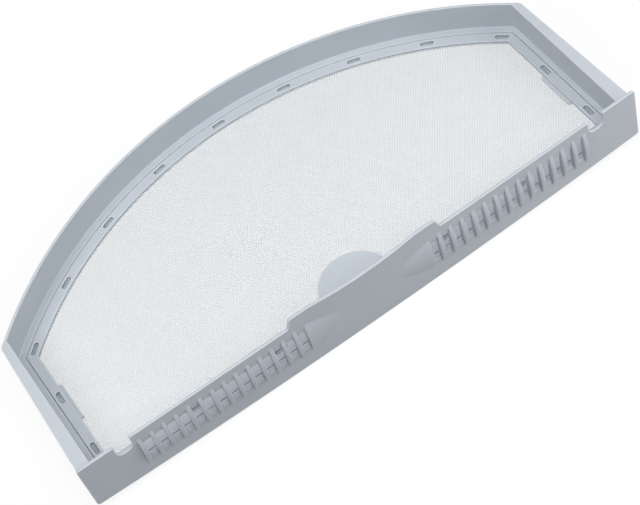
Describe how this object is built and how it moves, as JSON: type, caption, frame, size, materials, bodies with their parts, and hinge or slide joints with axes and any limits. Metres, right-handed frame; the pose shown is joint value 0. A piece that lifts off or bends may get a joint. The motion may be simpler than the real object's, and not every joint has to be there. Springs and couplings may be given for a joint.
{
  "type": "tumble dryer lint filter",
  "caption": "D-shaped lint filter for a tumble dryer: a shallow tray with an arc wall, slide rails and a handle plate with an air grille, and a fine woven screen held by a ring in its floor.",
  "frame": {"origin": "middle of the bounding box's base, below the middle of the tray", "axes": "+X along the handle plate, +Y from the plate to the crown of the arc, +Z out of the open side of the tray"},
  "size_m": [0.44, 0.2132, 0.0591],
  "materials": {
    "frame_plastic": "satin moulded plastic, light blue-grey",
    "ring_plastic": "satin moulded plastic, light blue-grey",
    "screen_weave": "fine white woven nylon screen"
  },
  "bodies": {
    "root": {"filter_frame": "frame_plastic", "screen_ring": "ring_plastic", "mesh_screen": "screen_weave"}
  },
  "joints": []
}
